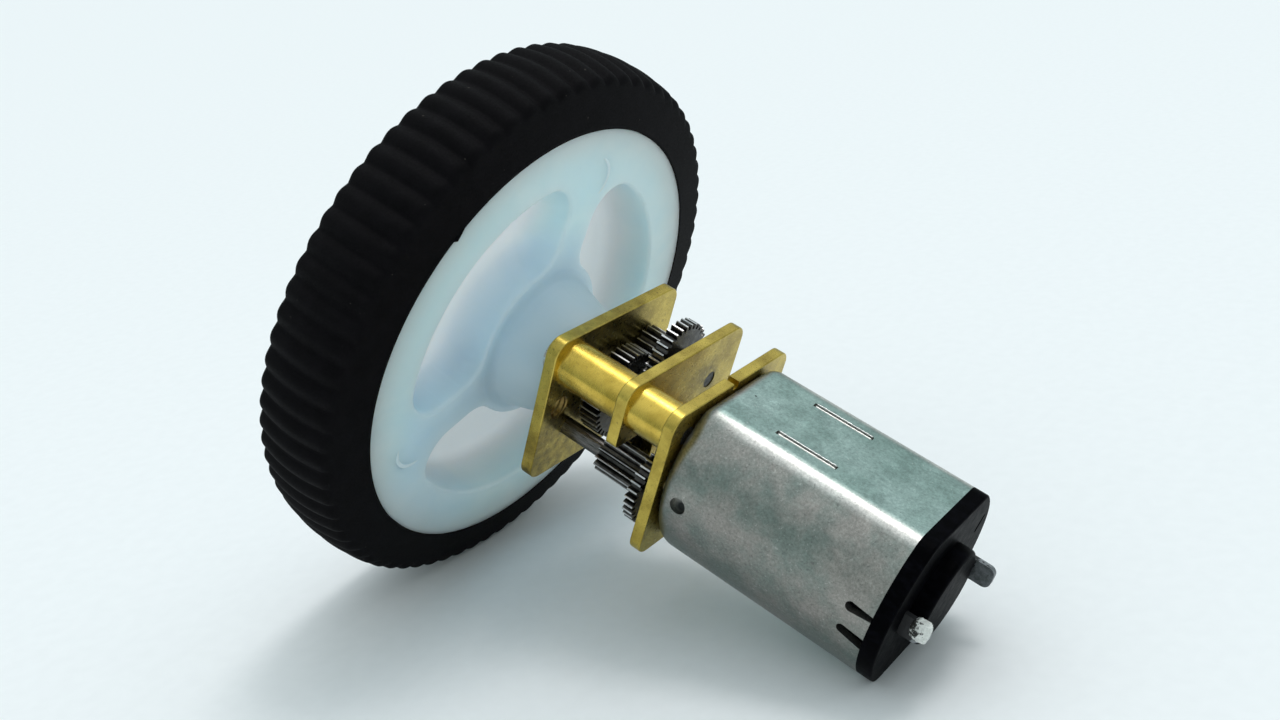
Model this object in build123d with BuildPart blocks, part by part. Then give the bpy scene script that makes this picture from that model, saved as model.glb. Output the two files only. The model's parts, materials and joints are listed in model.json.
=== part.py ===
from build123d import *
import math
import os

# Micro gearmotor: a flat-sided brushed motor, a three-plate brass gearbox and a press-on wheel.
# Millimetres, +Z up, X across the gearbox, output end towards -Y. It stands as it does on a table:
# on the tyre's inner shoulder and the lower edge of the end cap, so the shaft slopes up to the wheel.
# Levels are distances along the shaft from the front plate's outer face, positive towards the wheel.

# ---- driving dimensions ----------------------------------------------------------------------
plate_width = 12.0
plate_height = 10.0
plate_corner = 1.0
plate_edge_round = 0.08
front_plate_thickness = 0.8
plate_thickness = 0.75
front_gap = 4.4
rear_gap = 2.5

column_radius = 1.45
column_x = 4.3
column_y = 3.2
screw_radius = 0.6
screw_hole_radius = 0.65
mount_hole_radius = 0.8
mount_hole_pitch = 9.0

arbor_distance = 3.75
arbor_angle = 149.0
arbor_radius = 0.55
running_clearance = 0.03

motor_pinion_teeth = 17
first_gear_teeth = 31
first_pinion_teeth = 13
second_gear_teeth = 35
second_pinion_teeth = 16
third_gear_teeth = 32
third_pinion_teeth = 12
output_gear_teeth = 36
pressure_angle = math.radians(20)
profile_shift = 0.25
tooth_thinning = 0.03

output_shaft_radius = 1.5
output_shaft_across_flat = 2.5
output_shaft_length = 10.0
spigot_radius = 0.75
bush_radius = 2.0
bush_height = 0.7

can_radius = 6.0
can_flat_height = 10.0
can_length = 13.85
can_wall = 0.5
can_front_round = 1.0
can_crease_round = 1.5
cap_flange_thickness = 0.95
cap_edge_round = 0.15
motor_shaft_radius = 0.5
rotor_radius = 4.0

wheel_middle = 7.83
hub_half_width = 3.2
hub_radius = 14.32
tyre_radius = 17.78
tyre_crown_radius = 9.0
tyre_shoulder_radius = 0.6
tyre_shoulder_angle = math.radians(15)

# ---- levels along the shaft --------------------------------------------------------------------
front_plate_back = -front_plate_thickness
mid_plate_front = front_plate_back - front_gap
mid_plate_back = mid_plate_front - plate_thickness
rear_plate_front = mid_plate_back - rear_gap
gearbox_back = rear_plate_front - plate_thickness
can_back = gearbox_back - can_length
cap_back = can_back - cap_flange_thickness

# ---- how it stands -----------------------------------------------------------------------------
# The tyre's shoulder is a round that meets the crown's arc at the shoulder angle.
shoulder_arm = tyre_crown_radius - tyre_shoulder_radius
tyre_shoulder_offset = shoulder_arm * math.sin(tyre_shoulder_angle)
tyre_shoulder_centre = tyre_radius - tyre_crown_radius
tyre_shoulder_centre = tyre_shoulder_centre + shoulder_arm * math.cos(tyre_shoulder_angle)
# The floor is the tangent that touches the tyre's inner shoulder and the cap's rounded lower edge.
cap_contact_height = can_flat_height / 2 - cap_edge_round
cap_contact_level = cap_back + cap_edge_round
shoulder_level = wheel_middle - tyre_shoulder_offset
contact_run = shoulder_level - cap_contact_level
contact_drop = tyre_shoulder_centre - cap_contact_height
contact_span = math.hypot(contact_run, contact_drop)
tilt = math.atan2(contact_drop, contact_run)
tilt = tilt + math.asin((tyre_shoulder_radius - cap_edge_round) / contact_span)
tilt_sin = math.sin(tilt)
tilt_cos = math.cos(tilt)

# The origin is on the floor, midway between the tyre's furthest reach and the rear boss's.
cap_boss_radius = 3.0
cap_boss_height = 1.0
cap_boss_round = 0.3
far_shoulder = wheel_middle + tyre_shoulder_offset
front_reach = far_shoulder * tilt_cos + tyre_shoulder_centre * tilt_sin + tyre_shoulder_radius
boss_corner_level = cap_back - cap_boss_height + cap_boss_round
boss_corner_height = cap_boss_radius - cap_boss_round
rear_reach = boss_corner_height * tilt_sin - boss_corner_level * tilt_cos + cap_boss_round
face_y = (front_reach - rear_reach) / 2
face_z = tyre_shoulder_centre * tilt_cos - shoulder_level * tilt_sin + tyre_shoulder_radius

face = Plane(origin=(0, face_y, face_z), x_dir=(1, 0, 0), z_dir=(0, -tilt_cos, tilt_sin))
# In the axial plane, x is the level along the shaft and y is the height above the shaft's axis.
axial = Plane(origin=face.origin, x_dir=face.z_dir, z_dir=-face.x_dir)
spin = Axis(face.origin, face.z_dir)

second_arbor = (
    arbor_distance * math.cos(math.radians(arbor_angle)),
    arbor_distance * math.sin(math.radians(arbor_angle)),
)
first_arbor = (-second_arbor[0], -second_arbor[1])
centre = (0, 0)
column_places = [(column_x, column_y), (-column_x, -column_y)]
mount_places = [(mount_hole_pitch / 2, 0), (-mount_hole_pitch / 2, 0)]

level_tolerance = 0.01

os.makedirs("parts", exist_ok=True)


def save(part, name):
    """Label a finished piece and write its STEP file."""
    part.label = name
    export_step(part, f"parts/{name}.step")


def disc(level, places, radius, hole=0.0):
    """Round faces, with a hole in each if asked, on the plane across the shaft at a level."""
    with BuildSketch(face.offset(level)) as sketch:
        with Locations(*places):
            Circle(radius)
            if hole:
                Circle(hole, mode=Mode.SUBTRACT)
    return sketch.sketch


def plate_outline(level):
    """The gearbox plates' rounded rectangle at a level."""
    with BuildSketch(face.offset(level)) as sketch:
        RectangleRounded(plate_width, plate_height, plate_corner)
    return sketch.sketch


def can_outline(level, inset=0.0):
    """The motor's outline at a level: a circle cut off flat above and below."""
    with BuildSketch(face.offset(level)) as sketch:
        Circle(can_radius - inset)
        Rectangle(2 * can_radius, can_flat_height - 2 * inset, mode=Mode.INTERSECT)
        fillet(sketch.vertices(), can_crease_round)
    return sketch.sketch


def faces_at(builder, level):
    """A part's faces whose middles lie at a level."""
    return builder.faces().filter_by_position(spin, level - level_tolerance, level + level_tolerance)


def involute(angle):
    """The involute function."""
    return math.tan(angle) - angle


def toothed(level, place, teeth, mate_teeth, shift, turn, hole):
    """A spur gear's face at a level, with a tooth centred on the direction turn, and its bore."""
    module = 2 * arbor_distance / (teeth + mate_teeth)
    pitch_radius = module * teeth / 2
    base_radius = pitch_radius * math.cos(pressure_angle)
    root_radius = pitch_radius - module * (1.25 - shift)
    tip_radius = pitch_radius + module * (1 + shift)
    half_tooth = (math.pi / 2 + 2 * shift * math.tan(pressure_angle)) / teeth
    half_tooth = half_tooth - tooth_thinning / (2 * pitch_radius)

    def half_angle(radius):
        """Half the tooth's angle at a radius."""
        rolled = math.acos(min(base_radius / radius, 1))
        return half_tooth + involute(pressure_angle) - involute(rolled)

    flank = [root_radius, pitch_radius - module / 3, pitch_radius + module / 3, tip_radius]
    sides = [(radius, -half_angle(radius)) for radius in flank]
    sides = sides + [(radius, -angle) for radius, angle in reversed(sides)]
    points = []
    for tooth in range(teeth):
        middle = turn + 2 * math.pi * tooth / teeth
        for radius, angle in sides:
            x = place[0] + radius * math.cos(middle + angle)
            y = place[1] + radius * math.sin(middle + angle)
            points.append((x, y))
    with BuildSketch(face.offset(level)) as sketch:
        with BuildLine():
            Polyline(*points, close=True)
        make_face()
        with Locations(place):
            Circle(hole, mode=Mode.SUBTRACT)
    return sketch.sketch


def driver_face(level, place, mate_place, teeth, mate_teeth, hole):
    """A driving pinion's face, with one tooth pointing at its mate's axis."""
    turn = math.atan2(mate_place[1] - place[1], mate_place[0] - place[0])
    return toothed(level, place, teeth, mate_teeth, profile_shift, turn, hole)


def driven_face(level, place, mate_place, teeth, mate_teeth, hole):
    """A driven gear's face, with one gap pointing at its mate's axis."""
    turn = math.atan2(mate_place[1] - place[1], mate_place[0] - place[0]) + math.pi / teeth
    return toothed(level, place, teeth, mate_teeth, -profile_shift, turn, hole)


# ---- gearbox plates ----------------------------------------------------------------------------
motor_boss_radius = 1.7
mid_notch_left = 1.7
mid_notch_top = 0.9
mid_notch_round = 1.3
mid_end_round = 0.35
centre_mark_width = 0.5
centre_mark_depth = 0.4
motor_screw_head_radius = 1.3
motor_screw_head_depth = 0.5
motor_screw_radius = 0.75

with BuildPart() as front_plate:
    extrude(plate_outline(front_plate_back), amount=front_plate_thickness)
    fillet(front_plate.faces().sort_by(spin)[0].edges(), plate_edge_round)
    fillet(front_plate.faces().sort_by(spin)[-1].edges(), plate_edge_round)
    extrude(disc(0, [centre], bush_radius), amount=-front_plate_thickness, mode=Mode.SUBTRACT)
    extrude(
        disc(0, mount_places, mount_hole_radius),
        amount=-front_plate_thickness,
        mode=Mode.SUBTRACT,
    )
    extrude(
        disc(0, column_places, screw_hole_radius),
        amount=-front_plate_thickness,
        mode=Mode.SUBTRACT,
    )
    extrude(
        disc(0, [first_arbor, second_arbor], arbor_radius),
        amount=-front_plate_thickness,
        mode=Mode.SUBTRACT,
    )
save(front_plate.part, "front_plate")

with BuildPart() as mid_plate:
    with BuildSketch(face.offset(mid_plate_back)) as mid_outline:
        RectangleRounded(plate_width, plate_height, plate_corner)
        with Locations((mid_notch_left, mid_notch_top)):
            Rectangle(
                plate_width,
                plate_height,
                align=(Align.MIN, Align.MAX),
                mode=Mode.SUBTRACT,
            )
        notch_corner = mid_outline.vertices().sort_by_distance((mid_notch_left, mid_notch_top))[0]
        fillet(notch_corner, mid_notch_round)
        right_corner = mid_outline.vertices().sort_by_distance((plate_width / 2, mid_notch_top))[0]
        fillet(right_corner, mid_end_round)
        low_corner = mid_outline.vertices().sort_by_distance((mid_notch_left, -plate_height / 2))[0]
        fillet(low_corner, mid_end_round)
    extrude(amount=plate_thickness)
    fillet(mid_plate.faces().sort_by(spin)[0].edges(), plate_edge_round)
    fillet(mid_plate.faces().sort_by(spin)[-1].edges(), plate_edge_round)
    extrude(
        disc(mid_plate_back, [centre], spigot_radius + running_clearance),
        amount=plate_thickness,
        mode=Mode.SUBTRACT,
    )
    extrude(
        disc(mid_plate_back, column_places, screw_hole_radius),
        amount=plate_thickness,
        mode=Mode.SUBTRACT,
    )
    extrude(
        disc(mid_plate_back, [second_arbor], arbor_radius),
        amount=plate_thickness,
        mode=Mode.SUBTRACT,
    )
save(mid_plate.part, "mid_plate")

with BuildPart() as rear_plate:
    extrude(plate_outline(gearbox_back), amount=plate_thickness)
    fillet(rear_plate.faces().sort_by(spin)[0].edges(), plate_edge_round)
    fillet(rear_plate.faces().sort_by(spin)[-1].edges(), plate_edge_round)
    with BuildSketch(face.offset(gearbox_back)):
        with Locations((0, plate_height / 2)):
            Rectangle(centre_mark_width, 2 * centre_mark_depth)
        Circle(motor_boss_radius)
        with Locations(first_arbor):
            Circle(arbor_radius)
        with Locations(*column_places):
            Circle(screw_radius)
        with Locations(*mount_places):
            Circle(motor_screw_radius)
    extrude(amount=plate_thickness, mode=Mode.SUBTRACT)
    with BuildSketch(face.offset(rear_plate_front)):
        with Locations(*mount_places):
            Circle(motor_screw_head_radius)
    extrude(amount=-motor_screw_head_depth, mode=Mode.SUBTRACT)
save(rear_plate.part, "rear_plate")

# ---- gearbox columns, screws, arbors and bush ----------------------------------------------------
screw_head_radius = 1.1
screw_head_height = 0.5
screw_slot_width = 0.25
screw_slot_depth = 0.25
end_gap = 0.05
washer_radius = 2.2
washer_thickness = 0.3

with BuildPart() as front_columns:
    extrude(disc(front_plate_back, column_places, column_radius, screw_hole_radius), amount=-front_gap)
save(front_columns.part, "front_columns")

with BuildPart() as rear_columns:
    extrude(disc(mid_plate_back, column_places, column_radius, screw_hole_radius), amount=-rear_gap)
save(rear_columns.part, "rear_columns")

with BuildPart() as gearbox_screws:
    extrude(disc(0, column_places, screw_radius), amount=gearbox_back + end_gap)
    extrude(disc(0, column_places, screw_head_radius), amount=screw_head_height)
    with BuildSketch(face.offset(screw_head_height)):
        with Locations(*column_places):
            Rectangle(3 * screw_head_radius, screw_slot_width)
    extrude(amount=-screw_slot_depth, mode=Mode.SUBTRACT)
save(gearbox_screws.part, "gearbox_screws")

with BuildPart() as first_arbor_pin:
    extrude(disc(-end_gap, [first_arbor], arbor_radius), amount=gearbox_back + 2 * end_gap)
save(first_arbor_pin.part, "first_arbor")

with BuildPart() as second_arbor_pin:
    extrude(disc(-end_gap, [second_arbor], arbor_radius), amount=mid_plate_back + 2 * end_gap)
save(second_arbor_pin.part, "second_arbor")

with BuildPart() as output_bush:
    extrude(
        disc(front_plate_back, [centre], bush_radius, output_shaft_radius + running_clearance),
        amount=front_plate_thickness + bush_height,
    )
save(output_bush.part, "output_bush")

with BuildPart() as thrust_washer:
    extrude(
        disc(
            front_plate_back - end_gap,
            [centre],
            washer_radius,
            output_shaft_radius,
        ),
        amount=-washer_thickness,
    )
save(thrust_washer.part, "thrust_washer")

# ---- gear train ----------------------------------------------------------------------------------
gear_hub_radius = 0.8
second_hub_radius = 1.05
arbor_bore = arbor_radius + running_clearance
spigot_bore = spigot_radius + running_clearance
hub_end_gap = 0.1

first_gear_back = rear_plate_front + 0.55
first_gear_width = 0.7
first_gear_front = first_gear_back + first_gear_width
first_pinion_front = mid_plate_front + 1.3

second_gear_back = mid_plate_front + hub_end_gap
second_gear_width = 0.9
second_gear_front = second_gear_back + second_gear_width
second_pinion_front = second_gear_front + 1.5

third_gear_back = second_gear_front + 0.55
third_gear_width = 0.85
third_gear_front = third_gear_back + third_gear_width
third_pinion_front = front_plate_back - hub_end_gap

output_gear_back = third_gear_front + 0.3
output_gear_front = front_plate_back - end_gap - washer_thickness

motor_pinion_back = rear_plate_front + 0.4
motor_pinion_width = 1.1

with BuildPart() as motor_pinion:
    pinion_face = driver_face(
        motor_pinion_back,
        centre,
        first_arbor,
        motor_pinion_teeth,
        first_gear_teeth,
        motor_shaft_radius,
    )
    extrude(pinion_face, amount=motor_pinion_width)
save(motor_pinion.part, "motor_pinion")

with BuildPart() as first_gear:
    gear_face = driven_face(
        first_gear_back,
        first_arbor,
        centre,
        first_gear_teeth,
        motor_pinion_teeth,
        gear_hub_radius,
    )
    extrude(gear_face, amount=first_gear_width)
save(first_gear.part, "first_gear")

with BuildPart() as first_pinion:
    pinion_face = driver_face(
        first_gear_front,
        first_arbor,
        centre,
        first_pinion_teeth,
        second_gear_teeth,
        arbor_bore,
    )
    extrude(pinion_face, amount=first_pinion_front - first_gear_front)
    extrude(
        disc(first_gear_front, [first_arbor], gear_hub_radius, arbor_bore),
        amount=rear_plate_front + hub_end_gap - first_gear_front,
    )
save(first_pinion.part, "first_pinion")

with BuildPart() as second_gear:
    gear_face = driven_face(
        second_gear_back,
        centre,
        first_arbor,
        second_gear_teeth,
        first_pinion_teeth,
        second_hub_radius,
    )
    extrude(gear_face, amount=second_gear_width)
save(second_gear.part, "second_gear")

with BuildPart() as second_pinion:
    pinion_face = driver_face(
        second_gear_front,
        centre,
        second_arbor,
        second_pinion_teeth,
        third_gear_teeth,
        spigot_bore,
    )
    extrude(pinion_face, amount=second_pinion_front - second_gear_front)
    extrude(
        disc(second_gear_front, [centre], second_hub_radius, spigot_bore),
        amount=-second_gear_width,
    )
save(second_pinion.part, "second_pinion")

with BuildPart() as third_gear:
    gear_face = driven_face(
        third_gear_back,
        second_arbor,
        centre,
        third_gear_teeth,
        second_pinion_teeth,
        gear_hub_radius,
    )
    extrude(gear_face, amount=third_gear_width)
save(third_gear.part, "third_gear")

with BuildPart() as third_pinion:
    pinion_face = driver_face(
        third_gear_front,
        second_arbor,
        centre,
        third_pinion_teeth,
        output_gear_teeth,
        arbor_bore,
    )
    extrude(pinion_face, amount=third_pinion_front - third_gear_front)
    extrude(
        disc(third_gear_front, [second_arbor], gear_hub_radius, arbor_bore),
        amount=mid_plate_front + hub_end_gap - third_gear_front,
    )
save(third_pinion.part, "third_pinion")

with BuildPart() as output_gear:
    gear_face = driven_face(
        output_gear_back,
        centre,
        second_arbor,
        output_gear_teeth,
        third_pinion_teeth,
        output_shaft_radius,
    )
    extrude(gear_face, amount=output_gear_front - output_gear_back)
save(output_gear.part, "output_gear")

# ---- output shaft --------------------------------------------------------------------------------
flat_start = 0.8
shaft_end_chamfer = 0.2
flat_height = output_shaft_across_flat - output_shaft_radius

with BuildPart() as output_shaft:
    extrude(
        disc(output_gear_back, [centre], output_shaft_radius),
        amount=output_shaft_length - output_gear_back,
    )
    chamfer(output_shaft.faces().sort_by(spin)[-1].edges(), shaft_end_chamfer)
    with BuildSketch(face.offset(flat_start)):
        with Locations((0, flat_height)):
            Rectangle(
                4 * output_shaft_radius,
                2 * output_shaft_radius,
                align=(Align.CENTER, Align.MIN),
            )
    extrude(amount=output_shaft_length, mode=Mode.SUBTRACT)
    extrude(
        disc(output_gear_back, [centre], spigot_radius),
        amount=mid_plate_back + end_gap - output_gear_back,
    )
save(output_shaft.part, "output_shaft")

# ---- motor ---------------------------------------------------------------------------------------
motor_bearing_radius = 1.65
motor_boss_height = 0.55
front_bearing_depth = 1.1
motor_shaft_front = -6.75
motor_screw_depth = 0.3
flat_slot_places = [2.0, -2.2]
flat_slot_length = 3.95
flat_slot_level = -15.18
flat_slot_width = 0.35
dimple_radius = 0.5
dimple_depth = 0.35
dimple_level = -10.7
notch_tip_level = -21.75
notch_tip_radius = 0.3
notch_tip_height = 0.8
notch_mouth_half = 0.16
notch_flare = 0.6
magnet_gap = 0.2
magnet_front = -10.6
magnet_length = 10.0
magnet_half_split = 2.3

# Across the flats: x is across the gearbox and y is the level, turned round.
flats = Plane(origin=face.origin, x_dir=face.x_dir, z_dir=face.y_dir)

with BuildPart() as motor_can:
    extrude(can_outline(gearbox_back), amount=-can_length)
    fillet(motor_can.faces().sort_by(spin)[-1].edges(), can_front_round)
    extrude(can_outline(can_back, can_wall), amount=can_length - can_wall, mode=Mode.SUBTRACT)
    with BuildSketch(face.offset(gearbox_back)):
        Circle(motor_bearing_radius)
        with Locations(*mount_places):
            Circle(motor_screw_radius)
    extrude(amount=-can_wall, mode=Mode.SUBTRACT)
    with BuildSketch(flats):
        with Locations(*[(x, -flat_slot_level) for x in flat_slot_places]):
            Rectangle(flat_slot_width, flat_slot_length)
    extrude(amount=can_radius, both=True, mode=Mode.SUBTRACT)
    with BuildSketch(axial):
        for height, lower_mouth in ((notch_tip_height, notch_mouth_half), (-notch_tip_height, notch_flare)):
            with Locations((notch_tip_level, height)):
                Circle(notch_tip_radius)
            with BuildLine():
                Polyline(
                    (notch_tip_level, height + notch_tip_radius),
                    (can_back, height + notch_mouth_half),
                    (can_back, height - lower_mouth),
                    (notch_tip_level, height - notch_tip_radius),
                    close=True,
                )
            make_face()
    extrude(amount=can_radius + can_wall, both=True, mode=Mode.SUBTRACT)
    for side in (1, -1):
        with BuildSketch(axial.offset(side * (can_radius - dimple_depth))):
            with Locations((dimple_level, 0)):
                Circle(dimple_radius)
        extrude(amount=side * can_wall, mode=Mode.SUBTRACT)
save(motor_can.part, "motor_can")

with BuildPart() as motor_screws:
    head_seat = rear_plate_front - motor_screw_head_depth
    extrude(disc(head_seat, mount_places, motor_screw_head_radius), amount=motor_screw_head_depth)
    extrude(
        disc(head_seat, mount_places, motor_screw_radius),
        amount=gearbox_back - can_wall - motor_screw_depth - head_seat,
    )
    with BuildSketch(face.offset(rear_plate_front)):
        with Locations(*mount_places):
            Rectangle(3 * motor_screw_head_radius, screw_slot_width)
    extrude(amount=-screw_slot_depth, mode=Mode.SUBTRACT)
save(motor_screws.part, "motor_screws")

with BuildPart() as front_bearing:
    extrude(
        disc(
            gearbox_back + motor_boss_height,
            [centre],
            motor_bearing_radius,
            motor_shaft_radius + running_clearance,
        ),
        amount=-motor_boss_height - front_bearing_depth,
    )
save(front_bearing.part, "front_bearing")

with BuildPart() as magnets:
    extrude(can_outline(magnet_front, can_wall), amount=-magnet_length)
    with BuildSketch(face.offset(magnet_front)):
        Circle(rotor_radius + magnet_gap)
        Rectangle(2 * magnet_half_split, 2 * can_radius)
    extrude(amount=-magnet_length, mode=Mode.SUBTRACT)
save(magnets.part, "magnets")

# ---- rotor ---------------------------------------------------------------------------------------
rotor_poles = 3
rotor_hub_radius = 1.4
rotor_arm_width = 1.5
rotor_shoe_radius = 3.2
rotor_slot_width = 0.8
core_front = -12.2
core_length = 6.4
coil_inner = 1.6
coil_outer = 2.7
coil_width = 2.9
coil_overhang = 0.7
commutator_front = -20.4
commutator_length = 2.2
commutator_radius = 1.2
commutator_slit = 0.15
pole_middle = (coil_inner + coil_outer) / 2

with BuildPart() as rotor_core:
    with BuildSketch(face.offset(core_front)):
        Circle(rotor_radius)
        Circle(rotor_shoe_radius, mode=Mode.SUBTRACT)
        with PolarLocations(rotor_shoe_radius, rotor_poles, start_angle=-90):
            Rectangle(rotor_radius, rotor_slot_width, mode=Mode.SUBTRACT)
        with PolarLocations(pole_middle, rotor_poles, start_angle=90):
            Rectangle(rotor_shoe_radius, rotor_arm_width)
        Circle(rotor_hub_radius)
        Circle(motor_shaft_radius, mode=Mode.SUBTRACT)
    extrude(amount=-core_length)
save(rotor_core.part, "rotor_core")

with BuildPart() as windings:
    with BuildSketch(face.offset(core_front + coil_overhang)):
        with PolarLocations(pole_middle, rotor_poles, start_angle=90):
            Rectangle(coil_outer - coil_inner, coil_width)
    extrude(amount=-core_length - 2 * coil_overhang)
    with BuildSketch(face.offset(core_front)):
        with PolarLocations(pole_middle, rotor_poles, start_angle=90):
            Rectangle(rotor_shoe_radius, rotor_arm_width)
    extrude(amount=-core_length, mode=Mode.SUBTRACT)
save(windings.part, "windings")

with BuildPart() as commutator:
    with BuildSketch(face.offset(commutator_front)):
        Circle(commutator_radius)
        with PolarLocations(commutator_radius, rotor_poles, start_angle=30):
            Rectangle(motor_shaft_radius, commutator_slit, mode=Mode.SUBTRACT)
        Circle(motor_shaft_radius, mode=Mode.SUBTRACT)
    extrude(amount=-commutator_length)
save(commutator.part, "commutator")

rear_bearing_back = cap_back - cap_boss_height + 0.35
rear_bearing_length = 1.2
rear_bearing_radius = 1.6

with BuildPart() as motor_shaft:
    extrude(
        disc(motor_shaft_front, [centre], motor_shaft_radius),
        amount=rear_bearing_back + end_gap - motor_shaft_front,
    )
save(motor_shaft.part, "motor_shaft")

# ---- motor's rear end ----------------------------------------------------------------------------
plug_length = 1.8
plug_bore = 4.0
terminal_x = 3.7
terminal_thickness = 0.35
terminal_width = 1.4
terminal_front = -21.9
left_terminal_tip = -26.1
right_terminal_tip = -25.3
terminal_tip_round = 0.45
terminal_inside = terminal_x - terminal_thickness / 2
cap_slot_place = (-4.27, 2.42)
cap_slot_length = 1.2
cap_slot_width = 0.35
cap_slot_angle = 118
cap_slot_depth = 0.6
brush_front = -21.2
brush_width = 0.7
brush_thickness = 0.12
brush_gap = 0.04
brush_tip = -1.5
brush_bend = 1.6
brush_foot = -0.5
brush_left = commutator_radius + brush_gap
solder_gap = 0.45
solder_lift = 0.2
solder_width = 0.95
solder_height = 1.5
solder_length = 1.25
solder_round = 0.35

with BuildPart() as end_cap:
    extrude(can_outline(can_back), amount=-cap_flange_thickness)
    fillet(end_cap.faces().sort_by(spin)[0].edges(), cap_edge_round)
    extrude(disc(cap_back, [centre], cap_boss_radius), amount=-cap_boss_height)
    fillet(end_cap.faces().sort_by(spin)[0].edges(), cap_boss_round)
    extrude(can_outline(can_back, can_wall), amount=plug_length)
    extrude(disc(can_back, [centre], plug_bore), amount=plug_length, mode=Mode.SUBTRACT)
    extrude(
        disc(can_back, [centre], rear_bearing_radius),
        amount=rear_bearing_back - can_back,
        mode=Mode.SUBTRACT,
    )
    with BuildSketch(face.offset(can_back)):
        with Locations((terminal_x, 0), (-terminal_x, 0)):
            Rectangle(terminal_thickness, terminal_width)
    extrude(amount=-cap_flange_thickness, mode=Mode.SUBTRACT)
    with BuildSketch(face.offset(cap_back)):
        with Locations(Location(cap_slot_place, cap_slot_angle)):
            SlotOverall(cap_slot_length, cap_slot_width)
    extrude(amount=cap_slot_depth, mode=Mode.SUBTRACT)
save(end_cap.part, "end_cap")

with BuildPart() as rear_bearing:
    extrude(
        disc(
            rear_bearing_back,
            [centre],
            rear_bearing_radius,
            motor_shaft_radius + running_clearance,
        ),
        amount=rear_bearing_length,
    )
save(rear_bearing.part, "rear_bearing")

with BuildPart() as brushes:
    for side in (1, -1):
        with BuildSketch(face.offset(brush_front)):
            with Locations((side * brush_left, side * brush_tip)):
                Rectangle(
                    brush_thickness,
                    brush_bend - brush_tip,
                    rotation=90 - 90 * side,
                    align=Align.MIN,
                )
            with Locations((side * brush_left, side * (brush_bend - brush_thickness))):
                Rectangle(
                    terminal_inside - brush_left,
                    brush_thickness,
                    rotation=90 - 90 * side,
                    align=Align.MIN,
                )
            with Locations((side * (terminal_inside - brush_thickness), side * brush_foot)):
                Rectangle(
                    brush_thickness,
                    brush_bend - brush_foot,
                    rotation=90 - 90 * side,
                    align=Align.MIN,
                )
        extrude(amount=-brush_width)
save(brushes.part, "brushes")


def terminal_blade(side, tip):
    """A flat terminal with its end's corners rounded, on one side of the motor."""
    with BuildSketch(axial.offset(-side * terminal_inside)) as sketch:
        with Locations(((terminal_front + tip) / 2, 0)):
            Rectangle(terminal_front - tip, terminal_width)
        corners = sketch.vertices().sort_by(Axis.X)[:2]
        fillet(corners, terminal_tip_round)
    return extrude(sketch.sketch, amount=-side * terminal_thickness, mode=Mode.PRIVATE)


with BuildPart() as left_terminal:
    add(terminal_blade(-1, left_terminal_tip))
save(left_terminal.part, "left_terminal")

with BuildPart() as right_terminal:
    add(terminal_blade(1, right_terminal_tip))
save(right_terminal.part, "right_terminal")

with BuildPart() as solder_lump:
    with BuildSketch(face.offset(cap_back - solder_gap)):
        with Locations((terminal_x, solder_lift)):
            RectangleRounded(solder_width, solder_height, solder_round)
    extrude(amount=-solder_length)
    fillet(solder_lump.faces().sort_by(spin)[0].edges(), solder_round)
    add(terminal_blade(1, right_terminal_tip), mode=Mode.SUBTRACT)
save(solder_lump.part, "solder_lump")

# ---- wheel ---------------------------------------------------------------------------------------
hub_flange_width = 0.9
hub_barrel_radius = 13.2
hub_drum_radius = 12.5
hub_pocket_depth = 3.4
hub_pocket_floor = 1.2
hub_pocket_outer_radius = 11.2
hub_pocket_inner_radius = 5.3
hub_pocket_corner = 2.2
hub_pocket_draft = 9
hub_pocket_floor_round = 0.9
hub_pocket_mouth_round = 0.25
spoke_count = 3
spoke_width = 2.5
spoke_angle = 100.8
hub_boss_radius = 4.6
hub_boss_tip_radius = 3.5
hub_boss_front = 0.9
hub_boss_back = 10.6
hub_boss_round = 0.6
hub_edge_round = 0.2
tyre_side_angle = math.radians(80.5)

hub_near = wheel_middle - hub_half_width
hub_far = wheel_middle + hub_half_width
pocket_floor_near = hub_near + hub_pocket_depth
pocket_floor_far = pocket_floor_near + hub_pocket_floor

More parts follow.
